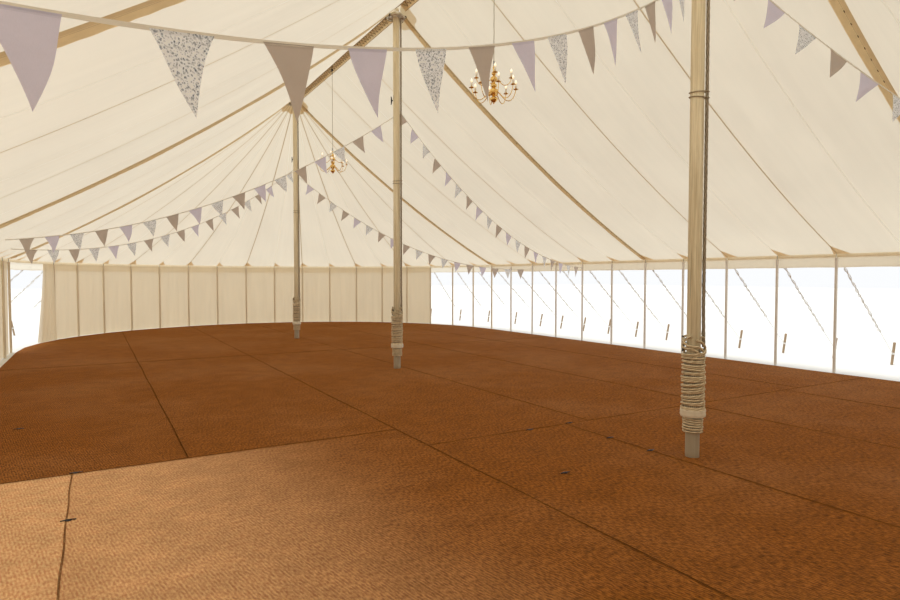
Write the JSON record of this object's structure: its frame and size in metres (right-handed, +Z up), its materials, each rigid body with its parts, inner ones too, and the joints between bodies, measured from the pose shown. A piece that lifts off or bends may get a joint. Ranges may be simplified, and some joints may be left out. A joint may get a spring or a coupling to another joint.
{
  "type": "canvas pole marquee",
  "caption": "Traditional cream canvas pole marquee with rounded ends, king poles, side poles, guy ropes, walls, coir matting, chandeliers and bunting.",
  "frame": {"origin": "on the ground at the foot of the middle king pole, which is the bottom centre of the box", "axes": "+Z up, +Y along the ridge towards the end with the doorway, +X towards the open side"},
  "size_m": [16.1236, 28.322, 6.37],
  "materials": {
    "canvas": "cream cotton canvas, weathered",
    "webbing": "tan cotton webbing with lacing",
    "king_timber": "pale weathered timber",
    "side_timber": "grey-brown weathered timber",
    "steel": "galvanised steel",
    "rope": "laid natural rope",
    "guy_rope": "laid cream rope with timber stakes",
    "coir": "orange-brown woven coir",
    "brass": "polished brass",
    "bunting": "cotton in lilac grey, small print and taupe"
  },
  "bodies": {
    "root": {"bunting_1_left": "bunting", "bunting_1_right": "bunting", "bunting_2_left": "bunting", "bunting_2_right": "bunting", "bunting_3_left": "bunting", "bunting_3_right": "bunting", "chandelier_1": "brass", "chandelier_2": "brass", "chandelier_rope_1": "rope", "chandelier_rope_2": "rope", "coir_matting": "coir", "door_curtain": "canvas", "guy_ropes_far_end_left": "guy_rope", "guy_ropes_far_end_right": "guy_rope", "guy_ropes_left_bay_1": "guy_rope", "guy_ropes_left_bay_2": "guy_rope", "guy_ropes_near_end_left": "guy_rope", "guy_ropes_near_end_right": "guy_rope", "guy_ropes_right_bay_1": "guy_rope", "guy_ropes_right_bay_2": "guy_rope", "hauling_rope_1": "rope", "hauling_rope_2": "rope", "hauling_rope_3": "rope", "king_pole_1": "king_timber", "king_pole_2": "king_timber", "king_pole_3": "king_timber", "king_pole_crown_1": "steel", "king_pole_crown_2": "steel", "king_pole_crown_3": "steel", "laced_strap_1_left": "webbing", "laced_strap_1_right": "webbing", "laced_strap_2_left": "webbing", "laced_strap_2_right": "webbing", "laced_strap_3_left": "webbing", "laced_strap_3_right": "webbing", "ridge_band_1": "webbing", "ridge_band_2": "webbing", "roof_far_end_left": "canvas", "roof_far_end_right": "canvas", "roof_left_bay_1": "canvas", "roof_left_bay_2": "canvas", "roof_near_end_left": "canvas", "roof_near_end_right": "canvas", "roof_right_bay_1": "canvas", "roof_right_bay_2": "canvas", "side_poles_far_end_left": "side_timber", "side_poles_far_end_right": "side_timber", "side_poles_left_bay_1": "side_timber", "side_poles_left_bay_2": "side_timber", "side_poles_near_end_left": "side_timber", "side_poles_near_end_right": "side_timber", "side_poles_right_bay_1": "side_timber", "side_poles_right_bay_2": "side_timber", "wall_far_end_left": "canvas", "wall_far_end_right": "canvas", "wall_left_bay_1": "canvas", "wall_left_bay_2": "canvas", "wall_near_end_left": "canvas", "wall_near_end_right": "canvas"}
  },
  "joints": []
}
